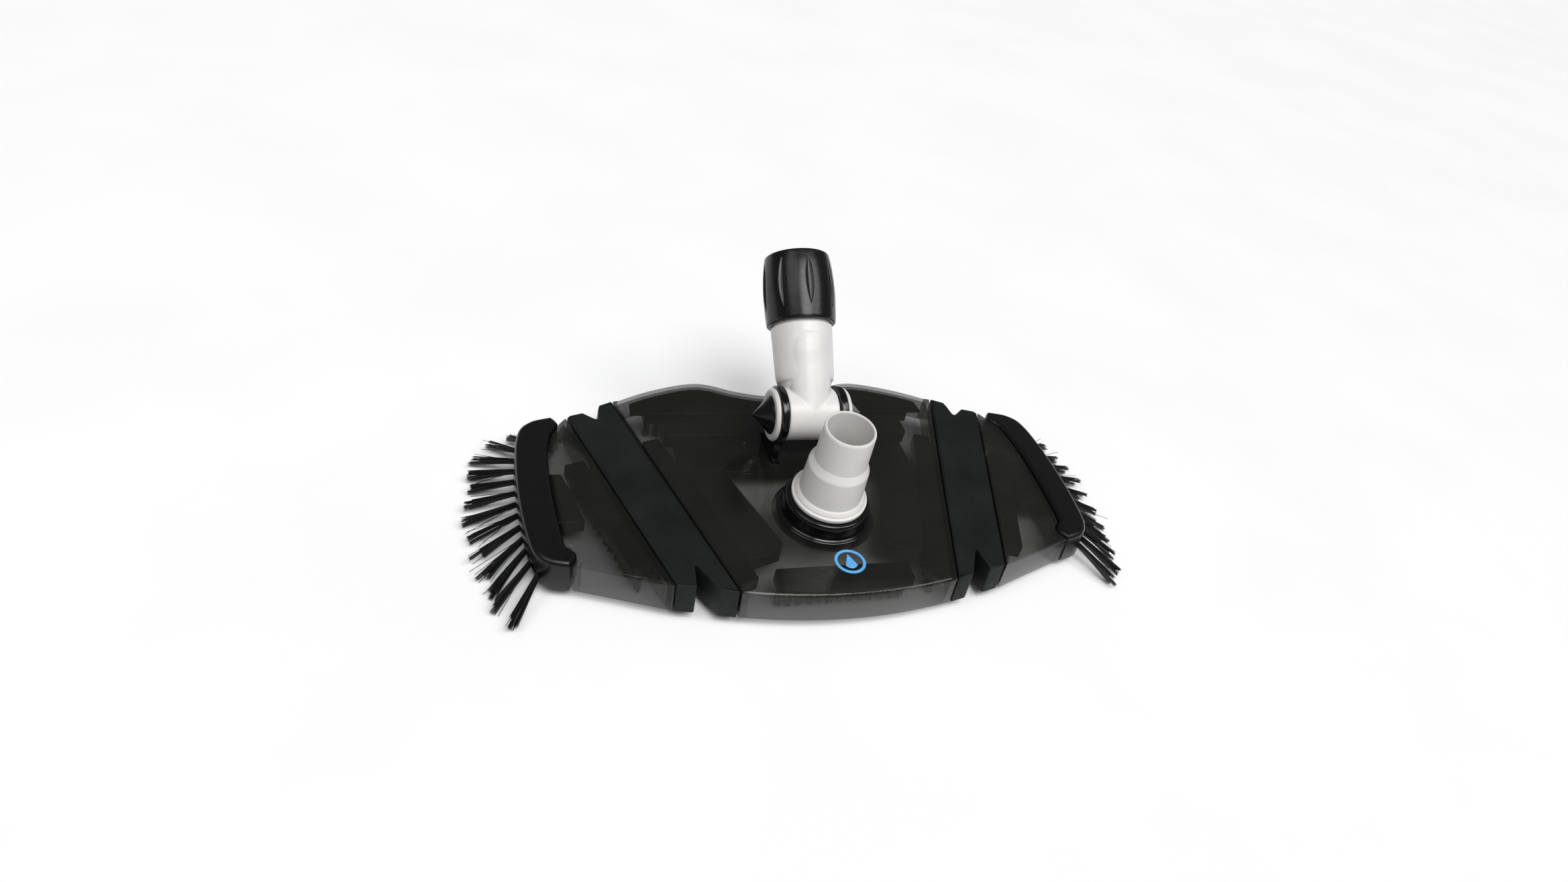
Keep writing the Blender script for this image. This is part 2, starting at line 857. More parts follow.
@dataclass
class MiddleShell:
    """The tinted shell in the middle, with its raised seat for the swivel and its two lug slots."""

    edge: float = 2.8
    seat_centre_y: float = 39.1
    throat: float = 22.4
    lug_x: Pair = (17.2, 23.2)
    lug_y: Pair = (85.0, 118.0)
    badge_at: Pair = (3.5, -6.5)
    badge_radii: Pair = (7.9, 9.8)
    drop_tip: float = 6.3
    drop_belly: float = 4.0
    drop_middle: Vector = field(default_factory=lambda: Vector((0, -1.6)))

    def outline(self) -> Path:
        """Return the outline of the shell."""
        reach = LINES.band_in[0][0] - LINES.seam
        xs = [reach * i / 16 for i in range(16)]
        front = flat((x, LINES.front_at(x)) for x in xs)
        corner = [Vector((reach, LINES.band_in[0][1]))]
        rear = curve_through(flat(LINES.rear), 5)
        rear[0].x -= LINES.seam
        half = [*front, *corner, *rear]
        return [*half, *(Vector((-p.x, p.y)) for p in reversed(half[1:-1]))]

    def seat(self) -> Opening:
        """Return the throat under the swivel."""
        return Opening(circle(self.throat, 96, 0, self.seat_centre_y), [(0.0, 0.0), (0.0, -LINES.deck)])

    def slot(self, side: Side) -> Opening:
        """Return the slot for one lug."""
        (x0, x1), (y0, y1) = self.lug_x, self.lug_y
        low, high = sorted((side.value * x0, side.value * x1))
        corners = [(low, y0, 1), (high, y0, 1), (high, y1, 1), (low, y1, 1)]
        return Opening(rounded(corners, 4), [(0.0, 0.0), (-0.2, -0.3), (-0.2, -LINES.deck)])

    def badge(self) -> BMesh:
        """Return a thin ring with a plain drop in it."""
        inside, outside = self.badge_radii
        ring = turned([(inside, 0.15), (outside, 0.15), (outside, 0.75, 0.3), (inside, 0.75, 0.3)], 72)
        tip = Vector((0, self.drop_tip))
        angles = [math.radians(200 + 10 * i) for i in range(15)]
        belly = [Vector((math.cos(a), math.sin(a))) * self.drop_belly + self.drop_middle for a in angles]
        drop = curve_through([tip, *belly, tip * 0.995], 2)[:-1]
        drop = ring_solid(drop, [(-0.3, 0.8), (0.0, 0.6), (0.0, 0.15)])
        return moved(joined([ring, drop]), Matrix.Translation((*self.badge_at, 0)))

    def build(self) -> None:
        """Make the shell and the badge."""
        rings = LINES.tray_rings(self.edge, LINES.deck)
        openings = [self.seat(), self.slot(Side.LEFT), self.slot(Side.RIGHT)]
        shell = ring_solid(self.outline(), rings, openings, LINES.lean, soft=LINES.crisp_seams)
        piece = publish(shell, "middle_shell_skin", SMOKE, "head", ["center_shell"])
        darken_walls(piece, HEAD)
        publish(self.badge(), "drop_badge", BLUE, "head", ["badge"])


@dataclass
class FlexBand:
    """One rubber band between the middle shell and a wing, with its two notches and its fold."""

    side: Side
    edge: float = 0.75
    thickness: float = 3.0
    fold_reach: float = 7.0
    cuts: int = 9

    def outline(self) -> Path:
        """Return the outline of the whole band."""
        (x0, y0), (x1, y1) = LINES.band_in
        (x2, y2), (x3, y3) = LINES.band_out
        seam = LINES.seam
        corners = [
            (x0 + seam, y0 + 0.2, 0.8), (80.2, -22.6, 1.6), (91.3, -0.4, 0.7), (93.4, -19.3, 1.6),
            (x2 - seam, y2, 0.8), (x3 - seam, y3, 0.8), (148.8, 138.8, 1.2), (140.2, 141.6, 1.6),
            (130.6, 133.4, 2.2), (129.4, 145.4, 2.0), (128.2, 149.6, 1.6), (x1 + seam, y1, 0.8),
        ]
        return rounded(corners, 5)

    def build(self) -> None:
        """Make the band, with enough cuts across the fold to bend smoothly."""
        bm = ring_solid(self.outline(), LINES.tray_rings(self.edge, self.thickness, 0.15), (), LINES.lean)
        start, end = (Vector((*p, 0.0)) for p in LINES.fold)
        across = (end - start).normalized().cross(Vector((0, 0, 1)))
        for i in range(self.cuts):
            offset = self.fold_reach * (2 * i / (self.cuts - 1) - 1)
            geom = [*bm.verts, *bm.edges, *bm.faces]
            cut = start + across * offset
            bmesh.ops.bisect_plane(bm, geom=geom, dist=1e-5, plane_co=cut, plane_no=across)
        word = self.side.word
        piece = publish(
            tidy(bm), f"{word}_flex_band", RUBBER, None,
            [f"{word}_band_inner", f"{word}_band_outer"], self.side.placed,
        )
        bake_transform(piece)


@dataclass
class WingShell:
    """The tinted shell of one wing. Its outer edge meets the end cap."""

    side: Side
    edge: float = 2.8

    def outline(self) -> Path:
        """Return the outline of the wing shell."""
        seam = LINES.seam
        (x2, y2), (x3, y3) = LINES.band_out
        front = [Vector((x2 + seam, y2)).lerp(Vector((160.3, 3.6)), i / 6) for i in range(7)]
        inner = [Vector((157.2, 9.6)), Vector((157.0, 13.6))]
        seam_curve = curve_through(flat(LINES.cap_seam)[::-1], 5)
        rear = [Vector((156.7, 131.8)), Vector((x3 + seam, y3))]
        return [*front, *inner, *(p - Vector((seam, 0)) for p in seam_curve), *rear]

    def build(self) -> None:
        """Make the wing shell."""
        rings = LINES.tray_rings(self.edge, LINES.deck)
        shell = ring_solid(self.outline(), rings, (), LINES.lean, soft=LINES.crisp_seams)
        piece = publish_side(self.side, shell, "wing_skin", SMOKE, "wing_shell")
        darken_walls(piece, self.side.placed)


@dataclass
class EndCap:
    """The black cap of one wing: full skirts at its two hooks, and a short lip over the side brush."""

    side: Side
    edge: float = 3.4
    deck: float = 4.0
    proud: float = 0.5
    lip_share: float = 0.56
    rim: tuple[Pair, ...] = (
        (162.2, 3.6), (168, 5.0), (174.0, 7.2), (179.2, 12.4), (182.4, 20), (184.6, 34), (186.4, 55),
        (187, 77), (186.5, 98), (185, 115), (181.6, 127.4), (174.5, 134.4), (167, 137.2), (161, 138.6),
    )

    def outline(self) -> Path:
        """Return the outline of the cap: its rim, then back along the seam with the wing shell."""
        rim = curve_through(flat(self.rim), 5)
        seam_curve = curve_through(flat(LINES.cap_seam), 5)
        return [
            *rim, Vector((158.6, 135.6)), Vector((157, 132)), *seam_curve, Vector((157.4, 13.6)),
            Vector((157.8, 9.4)),
        ]

    def depth(self, here: Vector) -> float:
        """Return the share of the skirt's depth at a point: short where the side brush comes out."""
        over_brush = 11.5 < here.y < 131.0 and here.x > 170
        return self.lip_share if over_brush else 1.0

    def lean(self, here: Vector) -> Vector:
        """Return a slight outward lean along the rim, and none along the seam."""
        if here.x < 161.5:
            return Vector((0, 0))
        return LINES.lean(here) if here.x < 172 else (here - Vector((150, 75))).normalized() * 0.05

    def build(self) -> None:
        """Make the cap."""
        rings = LINES.tray_rings(self.edge, self.deck, self.proud)
        cap = ring_solid(self.outline(), rings, (), self.lean, self.depth)
        publish_side(self.side, cap, "end_cap_skin", SATIN, "end_cap")


# ---- Brushes ----


@dataclass
class Tuft:
    """A bundle of filaments that stands on z = 0, in a few locks with their own lengths and leans."""

    length: float
    root: float = 1.6
    tip: float = 2.3
    filaments: int = 84
    thick: float = 0.25
    locks: int = 4
    shorter: float = 0.24
    lock_drift: float = 0.9
    loose: float = 0.35
    stray: float = 0.05
    stray_reach: float = 3.2
    sag: float = 0.0
    sway: float = 0.0
    joints: int = 3
    strand_name: ClassVar[str] = "strand_"

    def strand(self) -> bpy.types.Mesh:
        """Return one straight filament of unit length, with rings of vertices along it."""
        name = f"{self.strand_name}{self.joints}"
        if name in bpy.data.meshes:
            return bpy.data.meshes[name]
        bm = bmesh.new()
        bmesh.ops.create_cone(bm, cap_ends=True, segments=3, radius1=1.0, radius2=0.8, depth=1.0)
        bmesh.ops.translate(bm, verts=bm.verts, vec=(0, 0, 0.5))
        upright = [e for e in bm.edges if abs(e.verts[0].co.z - e.verts[1].co.z) > 0.5]
        bmesh.ops.subdivide_edges(bm, edges=upright, cuts=self.joints - 1)
        mesh = bpy.data.meshes.new(name)
        bm.to_mesh(mesh)
        bm.free()
        return mesh

    def build(self, dice: random.Random) -> BMesh:
        """Make the bundle.

        Args:
            dice: the source of its small irregularities.

        Returns:
            The mesh, in millimetres.
        """
        bm = bmesh.new()
        strand = self.strand()
        locks = []
        for index in range(self.locks):
            turn = 2 * math.pi * (index + dice.uniform(-0.3, 0.3)) / self.locks
            aim = Vector((math.cos(turn), math.sin(turn), 0))
            share = 1.0 - self.shorter * dice.random() ** 1.5
            locks.append((aim, share, dice.uniform(0.4, 1.0) * self.lock_drift))
        for _ in range(self.filaments):
            angle, far = dice.uniform(0, 2 * math.pi), math.sqrt(dice.random())
            start = Vector((math.cos(angle), math.sin(angle), 0)) * self.root * far
            aim, share, drift = max(locks, key=lambda lock: lock[0].dot(start) + dice.uniform(0, 0.5))
            wild = Vector((dice.gauss(0, 1), dice.gauss(0, 1), 0))
            wild *= self.stray_reach if dice.random() < self.stray else self.loose
            end = start * (self.tip / self.root) + aim * drift + wild
            reach = self.length * share * (1.0 - 0.05 * dice.random() ** 2)
            first = len(bm.verts)
            bm.from_mesh(strand)
            bm.verts.ensure_lookup_table()
            for vert in bm.verts[first:]:
                t = vert.co.z
                middle = start.lerp(end, t**1.3) + Vector((self.sag * t * t, self.sway * t * t, reach * t))
                vert.co = Vector((vert.co.x, vert.co.y, 0)) * self.thick + middle
        return bm


@dataclass
class StraightBrush:
    """A brush under the shell: a moulded bar, its tufts, and a carrier plate where it has one."""

    name: str
    start: Pair
    end: Pair
    width: float
    body: str = "head"
    place: Matrix = field(default_factory=lambda: HEAD.copy())
    top: float = -3.0
    low: float = -12.7
    floor: float = -27.0
    pitch: float = 6.6
    steps: tuple[float, ...] = ()
    notch: float = 3.2
    corner: float = 1.2
    corner_inner: float = 0.5
    seed: int = 1
    carrier: Path = field(default_factory=list)
    carrier_low: float = -5.4

    def frame(self) -> tuple[Matrix, float]:
        """Return the bar's own frame, with x along it, and its length."""
        way = Vector(self.end) - Vector(self.start)
        turn = Matrix.Rotation(math.atan2(way.y, way.x), 4, "Z")
        return Matrix.Translation((*self.start, 0)) @ turn, way.length

    def bar(self, length: float) -> BMesh:
        """Return the bar, with notches in one edge between its steps.

        Args:
            length: the bar's length.
        """
        half = self.width / 2
        out = half
        edge = [(0.0, -half, self.corner), (length, -half, self.corner), (length, half, self.corner)]
        for index, mark in enumerate(sorted(self.steps, reverse=True)):
            edge.append((mark * length, out, self.corner_inner))
            out = half if index % 2 else half - self.notch
            edge.append((mark * length, out, self.corner_inner))
        edge.append((0.0, out, self.corner))
        rings = [*quarter_round(0.8, self.top, 3), (0.0, self.low + 0.6), (-0.6, self.low)]
        return ring_solid(rounded(edge, 3), rings)

    def tufts(self, length: float) -> BMesh:
        """Return a row of tufts, made from a few different ones.

        Args:
            length: the bar's length.
        """
        dice = random.Random(self.seed)
        kinds = [self.tuft(dice) for _ in range(4)]
        count = int(length / self.pitch)
        row = bmesh.new()
        for index in range(count):
            x = (index + 0.5) * length / count
            flip = Matrix.Rotation(math.pi, 4, "X") @ Matrix.Rotation(dice.uniform(0, 6), 4, "Z")
            first = len(row.verts)
            row.from_mesh(kinds[index % len(kinds)])
            row.verts.ensure_lookup_table()
            place = Matrix.Translation((x, 0, self.low + 0.1)) @ flip
            bmesh.ops.transform(row, matrix=place, verts=row.verts[first:])
        for kind in kinds:
            bpy.data.meshes.remove(kind)
        return row

    def tuft(self, dice: random.Random) -> bpy.types.Mesh:
        """Return one kind of tuft as a mesh."""
        tall = self.low - self.floor - dice.uniform(0.0, 0.6)
        bm = Tuft(
            tall, root=1.9, tip=2.5, filaments=40, thick=0.22, locks=3, shorter=0.04, lock_drift=0.3,
            loose=0.25, stray=0.04, stray_reach=1.4, joints=2,
        ).build(dice)
        mesh = bpy.data.meshes.new("tuft")
        bm.to_mesh(mesh)
        bm.free()
        return mesh

    def build(self) -> None:
        """Make the bar and its bristles."""
        frame_matrix, length = self.frame()
        parts = [moved(self.bar(length), frame_matrix)]
        if self.carrier:
            low = self.carrier_low
            rings = [*quarter_round(0.5, self.top + 0.1, 3), (0.0, low + 0.4), (-0.4, low)]
            parts.append(ring_solid(self.carrier, rings))
        bristles = moved(self.tufts(length), frame_matrix)
        name, body, place = self.name, self.body, self.place
        publish(joined(parts), f"{name}_bar_moulding", SATIN, body, [f"{name}_brush_bar"], place)
        publish(bristles, f"{name}_filaments", BRISTLE, body, [f"{name}_bristles"], place)


@dataclass
class SideBrush:
    """The fan of tufts round one end cap, and the curved strip that holds them."""

    side: Side
    tufts: int = 13
    strip_top: float = -11.4
    strip_low: float = -20.0
    root_z: float = -15.0
    tip_z: float = -23.4
    set_back: float = 3.0
    lowest: float = -26.5
    first_heading: float = -60.0
    sweep: float = 104.0
    bend: float = 1.12
    last_turn: float = 16.0
    turn_from: float = 0.85
    lengths: Pair = (38.2, 29.0)
    trim: float = 0.25
    rim: tuple[Pair, ...] = (
        (177.8, 10.6), (180.6, 15.0), (182.9, 22), (184.6, 34), (186.0, 50), (186.9, 77), (186.4, 98),
        (185, 113), (182.4, 124.5), (177.5, 131.0),
    )

    def strip(self) -> BMesh:
        """Return the curved strip below the cap's lip, with a groove along its outer face."""
        outer = curve_through(flat(self.rim), 5)
        normals = normals_of(outer)
        normals[0], normals[-1] = normals[1], normals[-2]
        inner = [p - n * 8.0 for p, n in zip(outer, normals)]
        outline = [*(p - n * 0.7 for p, n in zip(outer, normals)), *reversed(inner)]
        rings = [(-0.8, self.strip_top), (-0.2, self.strip_top - 0.2), (0.0, self.strip_top - 0.8),
                 (0.0, -13.4), (-1.4, -13.8), (-1.4, -16.4), (0.0, -16.9), (0.0, self.strip_low + 0.8),
                 (-0.8, self.strip_low)]
        return ring_solid(outline, rings)

    def fan(self, dice: random.Random) -> BMesh:
        """Return all the tufts, fanned out and drooping to their tips.

        Args:
            dice: the source of the small irregularities.
        """
        path = evenly(curve_through(flat(self.rim), 8), 200)
        parts = []
        for index in range(self.tufts):
            t = index / (self.tufts - 1)
            root = path[round((0.01 + 0.98 * t) * (len(path) - 1))]
            turn = max(0.0, (t - self.turn_from) / (1 - self.turn_from))
            aim = self.first_heading + self.sweep * t**self.bend + self.last_turn * turn
            heading = math.radians(aim + dice.uniform(-3, 3))
            full = self.lengths[0] + (self.lengths[1] - self.lengths[0]) * t
            length = full * (1 - self.trim * turn) * dice.uniform(0.96, 1.03)
            droop = math.asin((self.root_z - self.tip_z) / length) * dice.uniform(0.9, 1.08)
            sag, sway = dice.uniform(0.8, 2.2), dice.uniform(-1.6, 1.6)
            tuft = Tuft(length + self.set_back, sag=sag, sway=sway, joints=4).build(dice)
            out = Matrix.Rotation(math.pi / 2 + droop * 0.86, 4, "Y")
            spin = Matrix.Rotation(heading, 4, "Z")
            back = Vector((math.cos(heading), math.sin(heading), 0)) * -self.set_back
            here = Matrix.Translation(Vector((root.x, root.y, self.root_z + 0.6)) + back)
            parts.append(moved(tuft, here @ spin @ out))
        fan = joined(parts)
        for vert in fan.verts:  # what would reach the floor bends flat just above it
            flattened = self.lowest + 0.1 * (vert.co.z - self.lowest)
            vert.co.z = max(vert.co.z, flattened, self.lowest - 0.4)
        return fan

    def build(self) -> None:
        """Make the strip and the fan."""
        publish_side(self.side, self.strip(), "brush_strip_rail", SATIN, "side_brush_strip")
        dice = random.Random(40 + self.side.value)
        publish_side(self.side, self.fan(dice), "side_fan", BRISTLE, "side_bristles")


# ---- Weights, bracket and screws ----


@dataclass
class Weights:
    """The coated iron weights under the shells."""

    top: float = -3.2
    low: float = -14.0
    wing_z: Pair = (-7.8, -17.0)
    inner: tuple[Pair, ...] = (
        (35, 9.6), (57, 2.5), (67.8, 36), (82.3, 88), (57, 88), (54, 80), (32.5, 17),
    )
    wing: tuple[Pair, ...] = ((148, 46), (168, 46), (169, 90), (158.5, 90))
    rear: tuple[Pair, ...] = ((-88, 120), (88, 120), (88, 140), (-88, 140))

    def block(self, outline: Sequence[Pair], top: float, low: float) -> BMesh:
        """Return a block with rounded corners and edges."""
        rings = [*quarter_round(1.0, top, 3), (0.0, low + 1.0), (-1.0, low)]
        return ring_solid(rounded([(*p, 2.0) for p in outline], 4), rings)

    def build(self) -> None:
        """Make the five weights."""
        rear = self.block(self.rear, self.top, self.low)
        publish(rear, "rear_weight_casting", IRON, "head", ["rear_weight"])
        for side in Side:
            inner = self.block(self.inner, self.top, self.low)
            publish_side(side, inner, "inner_weight_casting", IRON, "inner_weight", "head")
            wing = self.block(self.wing, *self.wing_z)
            publish_side(side, wing, "wing_weight_casting", IRON, "wing_weight")


@dataclass
class PivotBracket:
    """The black plate under the shell and the two lugs that carry the handle's barrel."""

    pivot_y: float = 100.0
    pivot_z: float = 29.75
    head: float = 19.0
    bore: float = 11.1
    lug_x: Pair = (17.5, 22.9)
    plate: tuple[Pair, ...] = ((-83, 89), (83, 89), (83, 119), (-83, 119))
    plate_z: Pair = (-9.3, -12.3)
    front_neck: tuple[Pair, ...] = (
        (-14.9, -11.7), (-12.2, -16.5), (-10.9, -22.0), (-11.2, -26.5), (-13.0, -29.4),
    )
    rear_neck: tuple[Pair, ...] = ((15.6, -29.4), (13.7, -25.5), (13.4, -20.0), (14.6, -14.5))

    def lug_outline(self) -> Path:
        """Return one lug seen from the side, in y and z from the pivot."""
        foot = -self.pivot_z - 9.6
        arc = [math.radians(a) for a in range(-38, 219, 6)]
        round_head = [Vector((self.head * math.cos(a), self.head * math.sin(a))) for a in arc]
        front = curve_through(flat(self.front_neck), 4)
        rear = curve_through(flat(self.rear_neck), 4)
        return [*front[1:], Vector((-13.0, foot)), Vector((15.6, foot)), *rear, *round_head]

    def lug(self, side: Side) -> BMesh:
        """Return one lug with rounded edges and its bore."""
        x0, x1 = self.lug_x
        thick = x1 - x0
        soft = 1.3
        arc = [math.pi / 2 * i / 4 for i in range(5)]
        first = [(-soft - 0.4, 0.0)] + [(soft * (math.sin(a) - 1), -soft * (1 - math.cos(a))) for a in arc]
        last = [(soft * (math.cos(a) - 1), -thick + soft * (1 - math.sin(a))) for a in arc]
        last.append((-soft - 0.4, -thick))
        bore = Opening(circle(self.bore, 64), [(0.4, 0.0), (0.0, -0.4), (0.0, -thick + 0.4), (0.4, -thick)])
        bm = ring_solid(self.lug_outline(), [*first, *last], [bore])
        stand = Matrix(((0, 0, 1, 0), (1, 0, 0, 0), (0, 1, 0, 0), (0, 0, 0, 1)))
        lifted = Matrix.Translation((x1, self.pivot_y, self.pivot_z)) @ stand
        bm = moved(bm, lifted)
        return moved(bm, MIRROR) if side is Side.LEFT else bm

    def build(self) -> None:
        """Make the bracket."""
        top, low = self.plate_z
        rings = [*quarter_round(0.8, top, 3), (0.0, low + 0.8), (-0.8, low)]
        plate = ring_solid(rounded([(*p, 4.0) for p in self.plate], 5), rings)
        bracket = joined([plate, self.lug(Side.LEFT), self.lug(Side.RIGHT)])
        publish(bracket, "pivot_bracket_moulding", GLOSS, "head", ["pivot_bracket"])


@dataclass
class Screws:
    """Pan-head screws, seen from below."""

    head: float = 3.0
    rise: float = 2.2
    shank: float = 1.4

    def one(self, under: float, tip: float) -> BMesh:
        """Return a screw that points up.

        Args:
            under: height of the underside of its head's seat.
            tip: height of its tip.
        """
        low = under - self.rise
        shank = self.shank
        body = turned([(0, tip), (0.5, tip), (shank, tip - 1.2), (shank, under), (0, under)], 24, False)
        rings = [(-1.3, low), (-0.7, low + 0.15), (-0.2, low + 0.7), (0.0, low + 1.4), (0.0, under)]
        head = ring_solid(circle(self.head, 40), rings)
        return joined([head, body])

    def build(self) -> None:
        """Make the bracket's and the end caps' screws."""
        for index in range(4):
            self.seat(f"bracket_screw_{index + 1}", "head")
        for side in Side:
            for index in range(2):
                self.seat(f"{side.word}_cap_screw_{index + 1}", side.wing)

    def seat(self, node: str, body: str) -> None:
        """Make one screw where its node is.

        Args:
            node: the node that it stands for.
            body: the body that it rides on.
        """
        low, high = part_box(node)
        centre = (low + high) / 2
        place = Matrix.Translation((centre.x, centre.y, low.z)) @ Matrix.Scale(MM, 4)
        made = self.one(self.rise, (high.z - low.z) / MM)
        publish(made, f"{node}_steel", STEEL, body, [node], place)


# ---- Hose connector and swivel ----


@dataclass
class HoseSwivel:
    """The black collar on the deck, and the white stepped connector that turns in it."""

    collar_top: float = 13.2
    foot_reach: float = 30.6
    foot_blend: float = 6.0
    clamp: float = 33.0
    clamp_z: Pair = (-4.0, -2.6)
    steps: int = 120

    def collar(self) -> BMesh:
        """Return the collar, with its foot flat on the deck, and its clamp ring below the deck."""
        bm = turned(
            [
                (20.3, 0.0), (self.foot_reach, 0.0), (self.foot_reach - 0.3, 0.35), (29.2, 0.8, 1),
                (28.3, 1.8, 1.2), (27.9, 3.6, 1.5), (27.7, 8.0, 1), (27.5, 10.8, 2.5),
                (26.2, self.collar_top, 2.0), (20.3, self.collar_top, 0.8), (20.3, 9.5), (23, 9.5), (23, 6.5),
                (20.3, 6.5),
            ],
            self.steps,
        )
        lift = SWIVEL.inverted() @ HEAD
        drop = HEAD.inverted() @ SWIVEL
        for vert in bm.verts:
            upright = drop @ vert.co
            share = min(1.0, vert.co.z / self.foot_blend)
            upright.z = upright.z * share + (vert.co.z + 0.05) * (1.0 - share)
            vert.co = lift @ upright
        low, top = self.clamp_z
        reach = self.clamp
        clamp = turned([(20.4, low, 0.3), (reach, low, 0.5), (reach, top, 0.5), (20.4, top, 0.3)], 96)
        centre = Matrix.Translation(drop.translation)
        return joined([bm, moved(clamp, lift @ centre)])

    def connector(self) -> BMesh:
        """Return the connector, from its spigot under the deck to its rounded rim."""
        foot = self.collar_top + 0.4
        return turned(
            [
                (17, -11), (19.9, -11, 0.5), (19.9, foot), (23.9, foot, 0.9), (24.2, foot + 2.9, 1.0),
                (22.7, foot + 3.3, 0.3), (22.4, foot + 4.4, 0.6), (20.9, foot + 6.2, 0.6),
                (20.1, foot + 6.4, 0.6), (19.2, 41.2, 0.5), (18.9, 42.2, 0.8), (16.6, 46.8, 0.8),
                (16.0, 69.9, 0.6), (15.6, 71.5, 1.0), (14.3, 71.5, 0.9), (14.0, 70.0), (14.0, 42, 2.0),
                (17, 38, 2.0),
            ],
            self.steps,
        )

    def build(self) -> None:
        """Make the collar, seal, connector and retainer."""
        publish(self.collar(), "swivel_collar_ring", GLOSS, "head", ["swivel_collar"], SWIVEL)
        seal = turned([(20.4, 6.9, 0.9), (22.7, 6.9, 0.9), (22.7, 9.1, 0.9), (20.4, 9.1, 0.9)], 72)
        publish(seal, "swivel_o_ring", RUBBER, "head", ["swivel_seal"], SWIVEL)
        publish(self.connector(), "stepped_connector", WHITE, "hose_connector", ["hose_connector"], SWIVEL)
        clip = turned([(20.1, -9.5, 0.4), (24.5, -9.5, 0.6), (24.5, -6.5, 0.6), (20.1, -6.5, 0.4)], 72)
        publish(clip, "retainer_clip", SATIN, "hose_connector", ["swivel_retainer"], SWIVEL)


# ---- Handle ----


@dataclass
class HandleTee:
    """The white tee: a cross barrel, a leaning neck and a sleeve with a socket for the pole."""

    barrel: float = 17.0
    half_width: float = 17.2
    neck: float = 13.6
    neck_flatness: float = 0.7
    neck_offset: float = -7.5
    neck_lean_deg: float = 6.0
    socket: float = 16.2
    voxel: float = 0.65
    softening: int = 4
    crease_deg: float = 40.0

    def shapes(self) -> BMesh:
        """Return the overlapping closed shapes that the tee is moulded from."""
        half, radius = self.half_width, self.barrel
        barrel = turned([(0, -half), (radius, -half, 0.9), (radius, half, 0.9), (0, half)], 96, False)
        sleeve = turned(
            [(0, 19.5), (13.5, 19.5, 1), (18.6, 20.6, 2.2), (19.5, 25), (20.6, 57.6, 0.5), (20.6, 58.3, 0.4),
             (19.3, 58.4), (19.3, 88), (0, 88)], 96, False,
        )
        web = turned([(0, 2), (15.9, 2), (15.9, 13, 4), (17.0, 18, 1), (17.9, 22), (0, 22)], 96, False)
        neck = turned(
            [(0, 1), (self.neck, 1), (self.neck, 40, 8), (12.7, 47, 5), (11.2, 52.5, 2), (0, 53.8)],
            96, False,
        )
        flatten = Matrix.Diagonal((1, self.neck_flatness, 1, 1))
        lean = Matrix.Rotation(math.radians(self.neck_lean_deg), 4, "X")
        forward = Matrix.Translation((0, self.neck_offset, 0))
        return joined([moved(barrel, ACROSS), sleeve, web, moved(neck, forward @ lean @ flatten)])

    def cutters(self) -> BMesh:
        """Return the socket, the axle hole and the bush pockets to be cut out."""
        socket = turned([(0, 30), (self.socket, 30, 0.6), (self.socket, 100), (0, 100)], 96, False)
        axle = moved(turned([(0, -30), (4.2, -30), (4.2, 30), (0, 30)], 40, False), ACROSS)
        ends = [
            moved(turned([(0, a), (9.2, a), (9.2, b), (0, b)], 64, False), ACROSS)
            for a, b in ((10.0, 22.0), (-22.0, -10.0))
        ]
        return joined([socket, axle, *ends])

    def build(self) -> None:
        """Mould the shapes into one body with soft fillets, and cut its holes."""
        piece = publish(self.shapes(), "handle_tee_moulding", WHITE, "handle", ["handle_tee"], HANDLE)
        knife_mesh = bpy.data.meshes.new("socket_knife")
        knife_bm = moved(self.cutters(), HANDLE)
        knife_bm.to_mesh(knife_mesh)
        knife_bm.free()
        knife = bpy.data.objects.new("socket_knife", knife_mesh)
        bpy.context.scene.collection.objects.link(knife)
        remesh = piece.modifiers.new("mould", "REMESH")
        remesh.mode = "VOXEL"
        remesh.voxel_size = self.voxel * MM
        soften = piece.modifiers.new("fillets", "SMOOTH")
        soften.factor, soften.iterations = 0.5, self.softening
        cut = piece.modifiers.new("holes", "BOOLEAN")
        cut.operation = "DIFFERENCE"
        cut.solver = "MANIFOLD"
        cut.object = knife
        bake_modifiers(piece, self.crease_deg)
        bpy.data.objects.remove(knife)


def bake_modifiers(piece: bpy.types.Object, crease_deg: float) -> None:
    """Apply a piece's modifiers to its mesh, and shade it again.

    Args:
        piece: the piece.
        crease_deg: edges sharper than this stay crisp.
    """
    graph = bpy.context.evaluated_depsgraph_get()
    done = bpy.data.meshes.new_from_object(piece.evaluated_get(graph))
    piece.modifiers.clear()
    piece.data = done
    bm = bmesh.new()
    bm.from_mesh(done)
    shade(bm, crease_deg)
    bm.to_mesh(done)
    bm.free()


